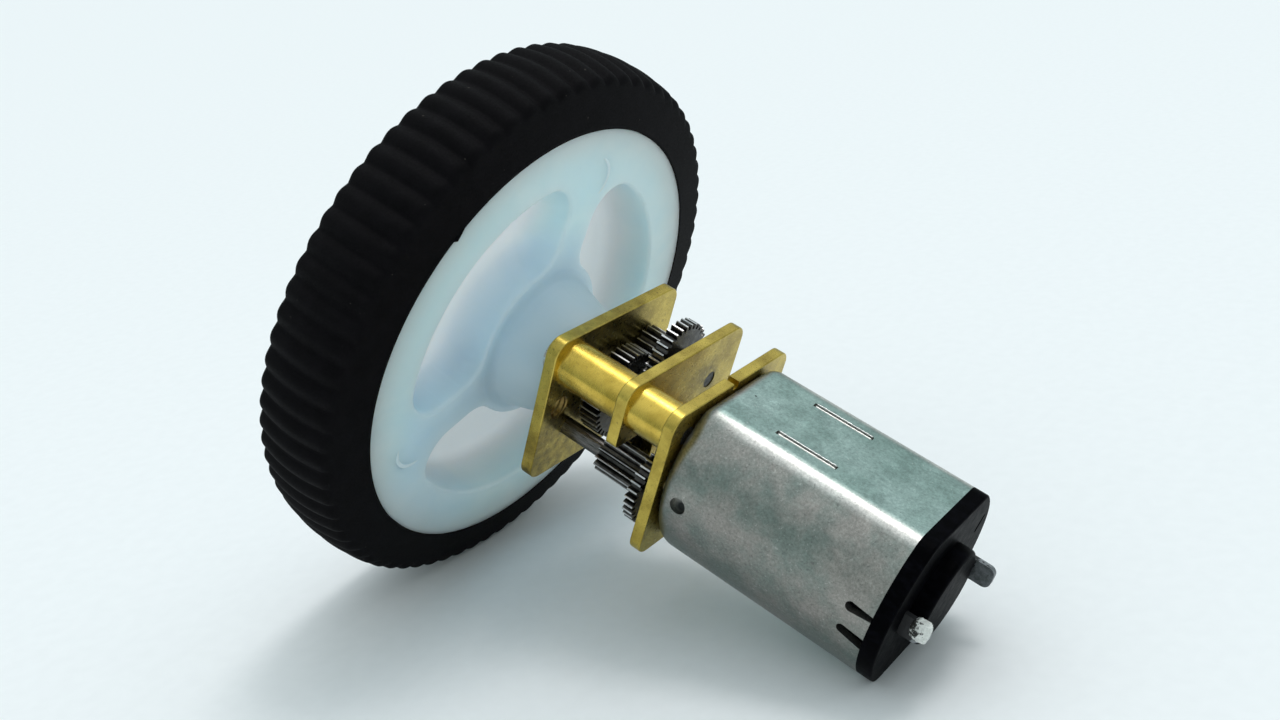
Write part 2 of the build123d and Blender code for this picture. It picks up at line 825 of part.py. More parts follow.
with BuildPart() as wheel_hub:
    with BuildSketch(axial) as hub_profile:
        with BuildLine():
            Polyline(
                (hub_boss_front, 0),
                (hub_boss_front, hub_boss_tip_radius),
                (hub_near, hub_boss_radius),
                (hub_near, hub_radius),
                (hub_near + hub_flange_width, hub_radius),
                (hub_near + hub_flange_width, hub_barrel_radius),
                (hub_far - hub_flange_width, hub_barrel_radius),
                (hub_far - hub_flange_width, hub_radius),
                (hub_far, hub_radius),
                (hub_far, hub_drum_radius),
                (pocket_floor_far, hub_drum_radius),
                (pocket_floor_far, hub_boss_radius),
                (hub_boss_back, hub_boss_radius),
                (hub_boss_back, 0),
                close=True,
            )
        make_face()
    revolve(axis=spin)
    with BuildSketch(face.offset(hub_near)) as pockets:
        Circle(hub_pocket_outer_radius)
        Circle(hub_pocket_inner_radius, mode=Mode.SUBTRACT)
        with PolarLocations(hub_boss_radius / 2, spoke_count, start_angle=spoke_angle):
            Rectangle(
                hub_pocket_outer_radius,
                spoke_width,
                align=(Align.MIN, Align.CENTER),
                mode=Mode.SUBTRACT,
            )
        fillet(pockets.vertices(), hub_pocket_corner)
    extrude(amount=hub_pocket_depth, taper=hub_pocket_draft, mode=Mode.SUBTRACT)
    fillet(faces_at(wheel_hub, pocket_floor_near).edges(), hub_pocket_floor_round)
    # The web's inner edges, shortest first, are the foot of the boss and the mouths of the pockets.
    web_edges = faces_at(wheel_hub, hub_near)[0].inner_wires().sort_by(SortBy.LENGTH)
    fillet(web_edges[1:].edges(), hub_pocket_mouth_round)
    web_edges = faces_at(wheel_hub, hub_near)[0].inner_wires().sort_by(SortBy.LENGTH)
    fillet(web_edges[0].edges(), hub_boss_round)
    with BuildSketch(face.offset(hub_boss_front)):
        Circle(output_shaft_radius)
        with Locations((0, flat_height)):
            Rectangle(
                4 * output_shaft_radius,
                2 * output_shaft_radius,
                align=(Align.CENTER, Align.MIN),
                mode=Mode.SUBTRACT,
            )
    extrude(amount=hub_boss_back - hub_boss_front, mode=Mode.SUBTRACT)
    chamfer(wheel_hub.faces().sort_by(spin)[-1].outer_wire().edges(), hub_edge_round)
save(wheel_hub.part, "wheel_hub")


def shoulder_point(side, angle):
    """A point on a tyre shoulder's round, at an angle from straight out to straight sideways."""
    return (
        wheel_middle + side * (tyre_shoulder_offset + tyre_shoulder_radius * math.sin(angle)),
        tyre_shoulder_centre + tyre_shoulder_radius * math.cos(angle),
    )


shoulder_middle = (tyre_shoulder_angle + tyre_side_angle) / 2
side_top = shoulder_point(1, tyre_side_angle)
bead_half = side_top[0] - wheel_middle + (side_top[1] - hub_radius) / math.tan(tyre_side_angle)
seat_half = hub_half_width - hub_flange_width

with BuildPart() as tyre:
    with BuildSketch(axial):
        with BuildLine():
            ThreePointArc(
                shoulder_point(-1, tyre_shoulder_angle),
                (wheel_middle, tyre_radius),
                shoulder_point(1, tyre_shoulder_angle),
            )
            for side in (1, -1):
                ThreePointArc(
                    shoulder_point(side, tyre_shoulder_angle),
                    shoulder_point(side, shoulder_middle),
                    shoulder_point(side, tyre_side_angle),
                )
                Polyline(
                    shoulder_point(side, tyre_side_angle),
                    (wheel_middle + side * bead_half, hub_radius),
                    (wheel_middle + side * seat_half, hub_radius),
                    (wheel_middle + side * seat_half, hub_barrel_radius),
                    (wheel_middle, hub_barrel_radius),
                )
        make_face()
    revolve(axis=spin)
save(tyre.part, "tyre")
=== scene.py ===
import json
import math

import bmesh
import bpy
from mathutils import Matrix, Vector
from mathutils.noise import noise as rough_noise


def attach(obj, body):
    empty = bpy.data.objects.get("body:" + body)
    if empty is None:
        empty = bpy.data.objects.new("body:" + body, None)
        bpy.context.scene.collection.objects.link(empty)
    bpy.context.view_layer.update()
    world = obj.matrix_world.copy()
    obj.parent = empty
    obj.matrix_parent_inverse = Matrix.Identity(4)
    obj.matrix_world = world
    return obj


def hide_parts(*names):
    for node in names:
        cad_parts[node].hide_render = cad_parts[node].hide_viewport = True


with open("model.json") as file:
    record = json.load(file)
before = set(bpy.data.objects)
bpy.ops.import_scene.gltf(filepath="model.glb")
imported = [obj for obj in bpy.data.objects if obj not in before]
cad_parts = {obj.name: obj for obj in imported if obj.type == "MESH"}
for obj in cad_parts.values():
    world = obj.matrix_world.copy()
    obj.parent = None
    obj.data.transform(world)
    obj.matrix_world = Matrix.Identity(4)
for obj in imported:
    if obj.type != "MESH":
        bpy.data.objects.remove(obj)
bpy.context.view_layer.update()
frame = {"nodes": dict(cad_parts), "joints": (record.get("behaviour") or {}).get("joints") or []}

# ---- the part's own axes: u across the gearbox, v up from the flat, w along the shaft to the wheel ----
MM = 0.001
wheel_joint = next(j for j in frame["joints"] if j["name"] == "wheel_spin")
WHEEL_JOINT_LEVEL = -0.4
W = Vector(wheel_joint["axis"]).normalized()
U = Vector((1, 0, 0))
V = W.cross(U)
FACE = Vector(wheel_joint["pos_m"]) - WHEEL_JOINT_LEVEL * MM * W
AXES = Matrix((U, V, W))


def at(u, v, w):
    """The point in the row frame, in metres, of a place in millimetres on the part's own axes."""
    return FACE + MM * (u * U + v * V + w * W)


def piece(name, mesh, body, material, smooth=True):
    """An object for a mesh, riding on a body and its material."""
    mesh.materials.append(material)
    for polygon in mesh.polygons:
        polygon.use_smooth = smooth
    obj = bpy.data.objects.new(name, mesh)
    bpy.context.scene.collection.objects.link(obj)
    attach(obj, body)
    return obj


def mesh_of(name, points, faces):
    """A mesh from faces and points in millimetres on the part's own axes, with its faces turned outwards."""
    mesh = bpy.data.meshes.new(name)
    mesh.from_pydata([at(*p) for p in points], [], faces)
    mesh.validate()
    shell = bmesh.new()
    shell.from_mesh(mesh)
    bmesh.ops.recalc_face_normals(shell, faces=shell.faces)
    shell.to_mesh(mesh)
    shell.free()
    return mesh


def ring_faces(rings, around):
    """Quads that join rings of points, each closed on itself."""
    faces = []
    for i in range(rings - 1):
        for j in range(around):
            k = (j + 1) % around
            faces.append((i * around + j, i * around + k, (i + 1) * around + k, (i + 1) * around + j))
    return faces


def skin(name, rings, looped):
    """A skin over rings of points, joined end to end in a loop, or capped at its two ends."""
    around = len(rings[0])
    last = (len(rings) - 1) * around
    faces = ring_faces(len(rings), around)
    if looped:
        for j in range(around):
            k = (j + 1) % around
            faces.append((last + j, last + k, k, j))
    else:
        faces.append(tuple(range(around)))
        faces.append(tuple(range(last, last + around)))
    return mesh_of(name, [p for ring in rings for p in ring], faces)


def merged(name, meshes):
    """One mesh from several."""
    shell = bmesh.new()
    for mesh in meshes:
        shell.from_mesh(mesh)
        bpy.data.meshes.remove(mesh)
    mesh = bpy.data.meshes.new(name)
    shell.to_mesh(mesh)
    shell.free()
    return mesh


# ---- materials ----
def new_material(name):
    """A material with its shader, and coordinates in millimetres on the part's own axes."""
    material = bpy.data.materials.new(name)
    material.use_nodes = True
    tree = material.node_tree
    tree.nodes.clear()
    output = tree.nodes.new("ShaderNodeOutputMaterial")
    shader = tree.nodes.new("ShaderNodeBsdfPrincipled")
    tree.links.new(shader.outputs["BSDF"], output.inputs["Surface"])
    coords = tree.nodes.new("ShaderNodeTexCoord")
    mapping = tree.nodes.new("ShaderNodeMapping")
    mapping.inputs["Scale"].default_value = (1 / MM, 1 / MM, 1 / MM)
    mapping.inputs["Rotation"].default_value = AXES.to_euler()
    mapping.inputs["Location"].default_value = -(AXES @ (FACE / MM))
    tree.links.new(coords.outputs["Object"], mapping.inputs["Vector"])
    return material, tree, shader, mapping.outputs["Vector"]


def node(tree, kind, **values):
    """A node with its named inputs set or linked."""
    made = tree.nodes.new(kind)
    for key, value in values.items():
        socket = made.inputs[key.replace("_", " ")]
        if isinstance(value, bpy.types.NodeSocket):
            tree.links.new(value, socket)
        else:
            socket.default_value = value
    return made


def math_node(tree, operation, *values, clamp=False):
    """A maths node's output."""
    made = tree.nodes.new("ShaderNodeMath")
    made.operation = operation
    made.use_clamp = clamp
    for socket, value in zip(made.inputs, values):
        if isinstance(value, bpy.types.NodeSocket):
            tree.links.new(value, socket)
        else:
            socket.default_value = value
    return made.outputs[0]


def times(tree, first, second):
    """The product of two values."""
    return math_node(tree, "MULTIPLY", first, second)


def noise(tree, vector, scale, detail=4.0, roughness=0.5, stretch=None, distortion=0.0):
    """Noise from 0 to 1, at features per millimetre, stretched along the axes if asked."""
    if stretch:
        made = node(tree, "ShaderNodeMapping", Vector=vector)
        made.inputs["Scale"].default_value = stretch
        vector = made.outputs["Vector"]
    return node(
        tree, "ShaderNodeTexNoise", Vector=vector, Scale=scale, Detail=detail,
        Roughness=roughness, Distortion=distortion,
    ).outputs["Fac"]


def ramp(tree, value, *stops):
    """A colour or grey ramp through (place, colour) stops."""
    made = tree.nodes.new("ShaderNodeValToRGB")
    tree.links.new(value, made.inputs["Fac"])
    elements = made.color_ramp.elements
    while len(elements) < len(stops):
        elements.new(0.5)
    for element, (place, colour) in zip(elements, stops):
        element.position = place
        if not hasattr(colour, "__len__"):
            colour = (colour, colour, colour)
        element.color = (*colour[:3], 1)
    return made.outputs["Color"]


def mix(tree, factor, first, second, blend="MIX"):
    """A colour mix."""
    made = tree.nodes.new("ShaderNodeMix")
    made.data_type = "RGBA"
    made.blend_type = blend
    for socket, value in ((made.inputs[0], factor), (made.inputs[6], first), (made.inputs[7], second)):
        if isinstance(value, bpy.types.NodeSocket):
            tree.links.new(value, socket)
        elif hasattr(value, "__len__"):
            socket.default_value = (*value[:3], 1)
        else:
            socket.default_value = value
    return made.outputs[2]


def separate(tree, vector):
    """The three parts of a vector."""
    return node(tree, "ShaderNodeSeparateXYZ", Vector=vector).outputs


def set_bump(tree, shader, height, distance_mm, strength=1.0):
    """A bump from a height, over a depth in millimetres."""
    bump = node(tree, "ShaderNodeBump", Height=height, Strength=strength, Distance=distance_mm * MM)
    tree.links.new(bump.outputs["Normal"], shader.inputs["Normal"])


def between(tree, value, low, high):
    """0 below low, 1 above high, and a straight rise from one to the other; low may be the larger."""
    made = tree.nodes.new("ShaderNodeMapRange")
    tree.links.new(value, made.inputs["Value"])
    made.inputs["From Min"].default_value = low
    made.inputs["From Max"].default_value = high
    return made.outputs["Result"]


def spot(tree, vector, place, inner, outer):
    """1 within a radius of a place, fading to 0 at the outer radius."""
    distance = tree.nodes.new("ShaderNodeVectorMath")
    distance.operation = "DISTANCE"
    tree.links.new(vector, distance.inputs[0])
    distance.inputs[1].default_value = place
    return between(tree, distance.outputs["Value"], outer, inner)


def brass(name, base, dark, roughness, streak, grime):
    """Brass with cloudy tarnish, fine scratches stretched along streak, and grime in patches."""
    material, tree, shader, vector = new_material(name)
    cloud = noise(tree, vector, 0.55, 5, 0.6)
    fine = noise(tree, vector, 9.0, 4, 0.65, streak)
    colour = ramp(tree, cloud, (0.32, dark), (0.62, base))
    worn = ramp(tree, fine, (0.3, 0.82), (0.7, 1.08))
    colour = mix(tree, 0.8, colour, worn, "MULTIPLY")
    specks = noise(tree, vector, 3.2, 3, 0.5)
    patch = ramp(tree, specks, (0.62, 0.0), (0.74, 1.0))
    colour = mix(tree, times(tree, patch, grime), colour, (0.10, 0.075, 0.03))
    tree.links.new(colour, shader.inputs["Base Color"])
    shader.inputs["Metallic"].default_value = 1.0
    coarse = noise(tree, vector, 4.0, 5, 0.7, streak)
    rough = ramp(tree, coarse, (0.25, roughness - 0.08), (0.75, roughness + 0.14))
    tree.links.new(rough, shader.inputs["Roughness"])
    set_bump(tree, shader, fine, 0.0015)
    return material, tree, shader, vector, colour


# Grease on the plates, and painted shade in the wide patches on the front plate's inner face between the
# plates: place, reach, weight.
PLATE_GREASE_AND_SHADE = [
    ((-3.1, 1.9, -5.95), 1.2, 0.95), ((-2.4, 2.8, -5.95), 1.5, 0.5), ((4.6, -0.9, -0.8), 1.5, 0.6),
    ((3.4, 4.2, -0.8), 1.4, 0.6), ((-0.2, -4.2, -0.8), 3.0, 0.6), ((2.8, 2.0, -5.2), 1.8, 0.4),
    ((4.0, -3.6, -0.8), 4.5, 0.58), ((0.5, 3.6, -0.8), 4.5, 0.30), ((3.6, -1.5, -5.95), 2.0, 0.5),
]


def plate_metal():
    """The plates' brass with grease on it, and painted shade on the front plate's inner face."""
    material, tree, shader, vector, colour = brass(
        "plate_brass", (0.60, 0.455, 0.095), (0.34, 0.245, 0.045), 0.28, (1.0, 1.0, 6.0), 0.5
    )
    patchy = ramp(tree, noise(tree, vector, 1.6, 4, 0.6), (0.35, 0.3), (0.6, 1.0))
    # Each place darkens the brass: grease spots, and painted shade in the wide patches on the front plate's
    # inner face.
    for dark_place, reach, weight in PLATE_GREASE_AND_SHADE:
        darkening = times(tree, spot(tree, vector, dark_place, 0.3 * reach, reach), patchy)
        colour = mix(tree, times(tree, darkening, weight), colour, (0.035, 0.03, 0.02))
    tree.links.new(colour, shader.inputs["Base Color"])
    return material


plate_brass = plate_metal()
turned_brass = brass("turned_brass", (0.72, 0.515, 0.10), (0.47, 0.325, 0.05), 0.20, (0.5, 0.5, 7.0), 0.3)[0]
pinion_brass = brass("pinion_brass", (0.62, 0.50, 0.20), (0.40, 0.30, 0.10), 0.3, (1.0, 1.0, 0.3), 0.4)[0]


def steel(name, base, dark, roughness, streak, fine_scale=8.0):
    """Bare metal with fine scratches stretched along streak."""
    material, tree, shader, vector = new_material(name)
    fine = noise(tree, vector, fine_scale, 5, 0.6, streak)
    colour = ramp(tree, fine, (0.3, dark), (0.7, base))
    tree.links.new(colour, shader.inputs["Base Color"])
    shader.inputs["Metallic"].default_value = 1.0
    rough = ramp(tree, noise(tree, vector, 5.0, 4, 0.6, streak), (0.3, roughness), (0.7, roughness + 0.15))
    tree.links.new(rough, shader.inputs["Roughness"])
    set_bump(tree, shader, fine, 0.003)
    return material


bright_steel = steel("bright_steel", (0.62, 0.61, 0.59), (0.40, 0.39, 0.37), 0.22, (3.0, 3.0, 0.2))
dark_steel = steel("dark_steel", (0.22, 0.21, 0.20), (0.045, 0.043, 0.04), 0.24, (3.0, 3.0, 0.25))
core_steel = steel("core_steel", (0.30, 0.30, 0.31), (0.16, 0.16, 0.17), 0.45, (0.4, 0.4, 9.0))
coil_copper = steel("coil_copper", (0.62, 0.28, 0.12), (0.40, 0.16, 0.06), 0.32, (1.0, 1.0, 6.0))
contact_brass = steel("contact_brass", (0.70, 0.52, 0.28), (0.52, 0.38, 0.18), 0.3, (1.0, 1.0, 4.0))
magnet_ferrite = steel("magnet_ferrite", (0.10, 0.10, 0.105), (0.05, 0.05, 0.055), 0.55, (1.0, 1.0, 1.0))


def gear_steel(name, centre, tip, shine):
    """Dark oiled gear steel with bright tooth tips at the tip radius, as bright as shine says: partly worn
    metal and partly painted light, set higher on gears that stand in the light and lower on gears in the
    shade between the plates.
    """
    material, tree, shader, vector = new_material(name)
    u, v = separate(tree, vector)[:2]
    du = math_node(tree, "SUBTRACT", u, centre[0])
    dv = math_node(tree, "SUBTRACT", v, centre[1])
    radius = math_node(tree, "SQRT", math_node(tree, "ADD", times(tree, du, du), times(tree, dv, dv)))
    edge = between(tree, radius, tip - 0.05, tip - 0.02)
    fine = noise(tree, vector, 7.0, 4, 0.6, (1.0, 1.0, 0.3))
    cloud = noise(tree, vector, 2.0, 3, 0.5)
    body = ramp(tree, cloud, (0.3, (0.035, 0.033, 0.031)), (0.7, (0.10, 0.096, 0.09)))
    land = ramp(tree, fine, (0.25, 0.4 * shine), (0.65, shine))
    colour = mix(tree, edge, body, land)
    tree.links.new(colour, shader.inputs["Base Color"])
    shader.inputs["Metallic"].default_value = 1.0
    rough = ramp(tree, fine, (0.3, 0.24), (0.7, 0.42))
    tree.links.new(rough, shader.inputs["Roughness"])
    set_bump(tree, shader, fine, 0.003)
    return material


# Painted shade in the two dimples, and a dark point on the upper flat: place, full radius, outer radius.
CAN_DARK_SPOTS = [
    ((5.75, -0.12, -10.8), 0.22, 0.5), ((-5.75, 0.12, -10.8), 0.22, 0.5), ((0.12, 5.0, -10.6), 0.05, 0.08),
]


def can_metal():
    """Speckled zinc plating: greenish flats, warmer sides, painted shade that darkens the sides towards the
    lower edge, painted highlights along the rounded edges of the flats that fade out towards the front, and
    painted shade in the two dimples.
    """
    material, tree, shader, vector = new_material("plated_can")
    v, w = separate(tree, vector)[1:3]
    height = math_node(tree, "ABSOLUTE", v)
    highlight_reach = between(tree, w, -9.8, -12.6)
    cloud = noise(tree, vector, 0.28, 6, 0.62)
    blotch = noise(tree, vector, 1.1, 5, 0.65, None, 0.6)
    grain = noise(tree, vector, 6.5, 5, 0.8)
    cool = ramp(tree, cloud, (0.35, (0.225, 0.325, 0.295)), (0.65, (0.33, 0.44, 0.41)))
    warm = ramp(tree, cloud, (0.40, (0.20, 0.235, 0.213)), (0.60, (0.30, 0.285, 0.262)))
    # Painted shade: the sides darken towards the lower edge.
    low_side_shade = ramp(tree, between(tree, v, -4.5, 3.5), (0.0, 0.74), (1.0, 1.14))
    warm = mix(tree, 1.0, warm, low_side_shade, "MULTIPLY")
    colour = mix(tree, between(tree, height, 4.93, 4.995), warm, cool)
    # Painted highlight along the rounded edges of the flats, fading out towards the front.
    crease = times(tree, between(tree, height, 4.5, 4.75), between(tree, height, 4.999, 4.95))
    crease = times(tree, crease, times(tree, highlight_reach, 0.6))
    colour = mix(tree, crease, colour, (0.76, 0.75, 0.71))
    colour = mix(tree, 0.6, colour, ramp(tree, blotch, (0.35, 0.80), (0.65, 1.15)), "MULTIPLY")
    colour = mix(tree, 0.9, colour, ramp(tree, grain, (0.30, 0.62), (0.70, 1.32)), "MULTIPLY")
    bright = ramp(tree, noise(tree, vector, 5.0, 2, 0.5), (0.66, 0.0), (0.72, 1.0))
    colour = mix(tree, times(tree, bright, 0.2), colour, (0.80, 0.78, 0.74))
    pits = ramp(tree, noise(tree, vector, 4.4, 3, 0.6), (0.62, 0.0), (0.72, 1.0))
    colour = mix(tree, times(tree, pits, 0.45), colour, (0.08, 0.08, 0.08))
    # Painted shade in the two dimples, and a dark point on the upper flat.
    for place, inner, outer in CAN_DARK_SPOTS:
        colour = mix(tree, spot(tree, vector, place, inner, outer), colour, (0.025, 0.027, 0.027))
    tree.links.new(colour, shader.inputs["Base Color"])
    shader.inputs["Metallic"].default_value = 0.92
    tree.links.new(ramp(tree, blotch, (0.3, 0.30), (0.7, 0.42)), shader.inputs["Roughness"])
    set_bump(tree, shader, mix(tree, 0.3, grain, blotch), 0.010)
    return material


def black_plastic():
    """Black moulded plastic, slightly satin with a fine grain and dusty scuffs."""
    material, tree, shader, vector = new_material("black_plastic")
    fine = noise(tree, vector, 6.0, 5, 0.6)
    scuff = noise(tree, vector, 1.6, 5, 0.7, (1.0, 1.0, 0.5))
    colour = ramp(tree, scuff, (0.45, (0.001, 0.001, 0.0014)), (0.75, (0.004, 0.004, 0.006)))
    tree.links.new(colour, shader.inputs["Base Color"])
    tree.links.new(ramp(tree, scuff, (0.3, 0.34), (0.7, 0.5)), shader.inputs["Roughness"])
    shader.inputs["IOR"].default_value = 1.18
    shader.inputs["Specular IOR Level"].default_value = 0.06
    set_bump(tree, shader, fine, 0.006)
    return material


# Painted shade in soft patches on the hub's near face: place, reach, weight.
HUB_PAINTED_SHADE = [((7.5, -2.0, 4.63), 5.0, 0.30), ((9.0, -9.5, 4.63), 7.0, 0.26)]


def white_plastic():
    """White moulded nylon that light passes into: bluish on the web, with painted light that makes the thin
    pocket floors paler, and painted shade at the hub's centre towards the gearbox and in soft patches on the
    near face.
    """
    material, tree, shader, vector = new_material("white_plastic")
    flow = noise(tree, vector, 0.22, 4, 0.5, None, 0.8)
    fine = noise(tree, vector, 5.0, 4, 0.6)
    web = ramp(tree, flow, (0.3, (0.61, 0.835, 0.98)), (0.7, (0.69, 0.88, 1.0)))
    # Painted light: the pocket floors turn paler with depth, as if lit through from behind.
    backlit_floor = ramp(tree, flow, (0.3, (0.92, 0.945, 0.985)), (0.7, (0.97, 0.98, 1.0)))
    depth = between(tree, separate(tree, vector)[2], 5.0, 7.6)
    colour = mix(tree, depth, web, backlit_floor)
    scuffs = ramp(tree, noise(tree, vector, 1.3, 6, 0.7, (1.0, 0.25, 1.0), 1.5), (0.66, 0.0), (0.72, 1.0))
    colour = mix(tree, times(tree, scuffs, 0.10), colour, (0.45, 0.55, 0.58))
    # Painted shade: the hub's centre darkens towards the gearbox.
    boss = spot(tree, vector, (0, 0, 3.0), 3.8, 8.5)
    colour = mix(tree, times(tree, boss, 0.42), colour, (0.40, 0.40, 0.385))
    # Painted shade in soft patches on the near face.
    for place, reach, weight in HUB_PAINTED_SHADE:
        darkening = spot(tree, vector, place, 0.2 * reach, reach)
        colour = mix(tree, times(tree, darkening, weight), colour, (0.42, 0.46, 0.47))
    tree.links.new(colour, shader.inputs["Base Color"])
    shader.inputs["Subsurface Weight"].default_value = 1.0
    shader.inputs["Subsurface Radius"].default_value = (0.95, 1.0, 1.05)
    shader.inputs["Subsurface Scale"].default_value = 3.2 * MM
    tree.links.new(ramp(tree, fine, (0.3, 0.36), (0.7, 0.46)), shader.inputs["Roughness"])
    set_bump(tree, shader, mix(tree, 0.3, flow, fine), 0.01)
    return material


def mark_plastic():
    """The same nylon where it is raised in a thin ring, which the light only grazes."""
    material, tree, shader, vector = new_material("mark_plastic")
    fine = noise(tree, vector, 5.0, 4, 0.6)
    colour = ramp(tree, fine, (0.3, (0.66, 0.80, 0.86)), (0.7, (0.74, 0.87, 0.92)))
    tree.links.new(colour, shader.inputs["Base Color"])
    shader.inputs["Roughness"].default_value = 0.45
    set_bump(tree, shader, fine, 0.01)
    return material


def tyre_rubber():
    """Matt black rubber with a fine skin, faint dust and a few pale specks."""
    material, tree, shader, vector = new_material("tyre_rubber")
    fine = noise(tree, vector, 8.0, 5, 0.7)
    cloud = noise(tree, vector, 0.9, 4, 0.6)
    colour = ramp(tree, cloud, (0.35, (0.0016, 0.0013, 0.0018)), (0.7, (0.0034, 0.0029, 0.0038)))
    dust = ramp(tree, noise(tree, vector, 3.1, 2, 0.5), (0.76, 0.0), (0.80, 1.0))
    colour = mix(tree, times(tree, dust, 0.25), colour, (0.16, 0.14, 0.12))
    tree.links.new(colour, shader.inputs["Base Color"])
    tree.links.new(ramp(tree, fine, (0.3, 0.62), (0.7, 0.80)), shader.inputs["Roughness"])
    shader.inputs["IOR"].default_value = 1.35
    shader.inputs["Specular IOR Level"].default_value = 0.12
    set_bump(tree, shader, mix(tree, 0.4, fine, cloud), 0.02)
    return material


def white_lump_paint():
    """Matt white lump, chalky, with black pits, more of them on the side towards the cap."""
    material, tree, shader, vector = new_material("white_lump")
    fine = noise(tree, vector, 5.0, 5, 0.65)
    colour = ramp(tree, fine, (0.28, (0.62, 0.64, 0.60)), (0.6, (0.93, 0.94, 0.90)))
    toward_cap = between(tree, separate(tree, vector)[2], -25.25, -24.35)
    pits = math_node(tree, "ADD", noise(tree, vector, 2.6, 4, 0.6), times(tree, toward_cap, 0.24))
    colour = mix(tree, ramp(tree, pits, (0.60, 0.0), (0.66, 1.0)), colour, (0.03, 0.03, 0.025))
    tree.links.new(colour, shader.inputs["Base Color"])
    shader.inputs["Roughness"].default_value = 0.6
    set_bump(tree, shader, fine, 0.06)
    return material


def tab_metal():
    """Matt tinned tab, black where it leaves the cap, and chipped."""
    material, tree, shader, vector = new_material("terminal_metal")
    fine = noise(tree, vector, 3.0, 5, 0.65)
    colour = ramp(tree, fine, (0.3, (0.12, 0.13, 0.135)), (0.65, (0.30, 0.32, 0.33)))
    near_cap = between(tree, separate(tree, vector)[2], -25.0, -24.6)
    dark_patches = math_node(tree, "ADD", noise(tree, vector, 3.4, 3, 0.6), times(tree, near_cap, 0.5))
    dark = ramp(tree, dark_patches, (0.62, 0.0), (0.70, 1.0))
    colour = mix(tree, dark, colour, (0.008, 0.008, 0.009))
    tree.links.new(colour, shader.inputs["Base Color"])
    tree.links.new(ramp(tree, dark, (0.0, 1.0), (1.0, 0.0)), shader.inputs["Metallic"])
    tree.links.new(ramp(tree, fine, (0.3, 0.34), (0.7, 0.5)), shader.inputs["Roughness"])
    set_bump(tree, shader, fine, 0.02)
    return material


plated_can = can_metal()
burr_metal = steel("burr_metal", (0.92, 0.91, 0.88), (0.45, 0.45, 0.44), 0.3, (1.0, 1.0, 1.0), 9.0)
thread_brass = brass("thread_brass", (0.42, 0.30, 0.10), (0.16, 0.10, 0.035), 0.35, (1.0, 1.0, 1.0), 0.6)[0]
cap_plastic = black_plastic()
hub_plastic = white_plastic()
rubber = tyre_rubber()
lump_paint = white_lump_paint()
terminal_metal = tab_metal()
arbor_steel = steel("arbor_steel", (0.10, 0.10, 0.095), (0.025, 0.025, 0.024), 0.35, (1.0, 1.0, 1.0), 4.0)

ARBOR_DISTANCE = 3.75
ARBOR_ANGLE = math.radians(149)
SECOND_ARBOR = (ARBOR_DISTANCE * math.cos(ARBOR_ANGLE), ARBOR_DISTANCE * math.sin(ARBOR_ANGLE))
FIRST_ARBOR = (-SECOND_ARBOR[0], -SECOND_ARBOR[1])
CENTRE = (0, 0)

cad_materials = {
    "front_plate": plate_brass, "mid_plate": plate_brass, "rear_plate": plate_brass,
    "front_columns": turned_brass, "rear_columns": turned_brass, "output_bush": turned_brass,
    "front_bearing": turned_brass, "rear_bearing": turned_brass, "motor_pinion": pinion_brass,
    "gearbox_screws": bright_steel, "motor_screws": bright_steel, "first_arbor": dark_steel,
    "second_arbor": arbor_steel, "output_shaft": bright_steel, "motor_shaft": bright_steel,
    "thrust_washer": bright_steel, "motor_can": plated_can, "end_cap": cap_plastic,
    "magnets": magnet_ferrite, "rotor_core": core_steel, "windings": coil_copper,
    "commutator": coil_copper, "brushes": contact_brass, "left_terminal": terminal_metal,
    "right_terminal": terminal_metal, "solder_lump": lump_paint, "wheel_hub": hub_plastic, "tyre": rubber,
    # Tip brightness is partly painted light: higher on gears in the light, lower on gears in the shade
    # between the plates.
    "first_gear": gear_steel("first_gear_steel", FIRST_ARBOR, 2.54, 0.7),
    "first_pinion": gear_steel("first_pinion_steel", FIRST_ARBOR, 1.205, 0.45),
    "second_gear": gear_steel("second_gear_steel", CENTRE, 2.85, 0.35),
    "second_pinion": gear_steel("second_pinion_steel", CENTRE, 1.44, 0.5),
    "third_gear": gear_steel("third_gear_steel", SECOND_ARBOR, 2.62, 0.9),
    "third_pinion": gear_steel("third_pinion_steel", SECOND_ARBOR, 1.13, 0.75),
    "output_gear": gear_steel("output_gear_steel", CENTRE, 2.93, 0.4),
}
for name, material in cad_materials.items():
    data = frame["nodes"][name].data
    data.materials.clear()
    data.materials.append(material)

# ---- tyre ----
WHEEL_MIDDLE = 7.83
TYRE_RADIUS = 17.78
CROWN_RADIUS = 9.0
SHOULDER_ROUND = 0.6
SHOULDER_ANGLE = math.radians(15)
SIDE_ANGLE = math.radians(80.5)
BEAD_RADIUS = 14.36
SEAT_RADIUS = 13.2
SEAT_HALF = 2.3
CROWN_STEPS = 12
SHOULDER_STEPS = 10
SIDE_STEPS = 12
RIBS = 75
RIB_STEPS = 12
RIB_DEPTH = 0.27
RIB_SIDE_END = 16.7
RIB_SIDE_FULL = 17.35
RIB_ROUNDNESS = 1.1


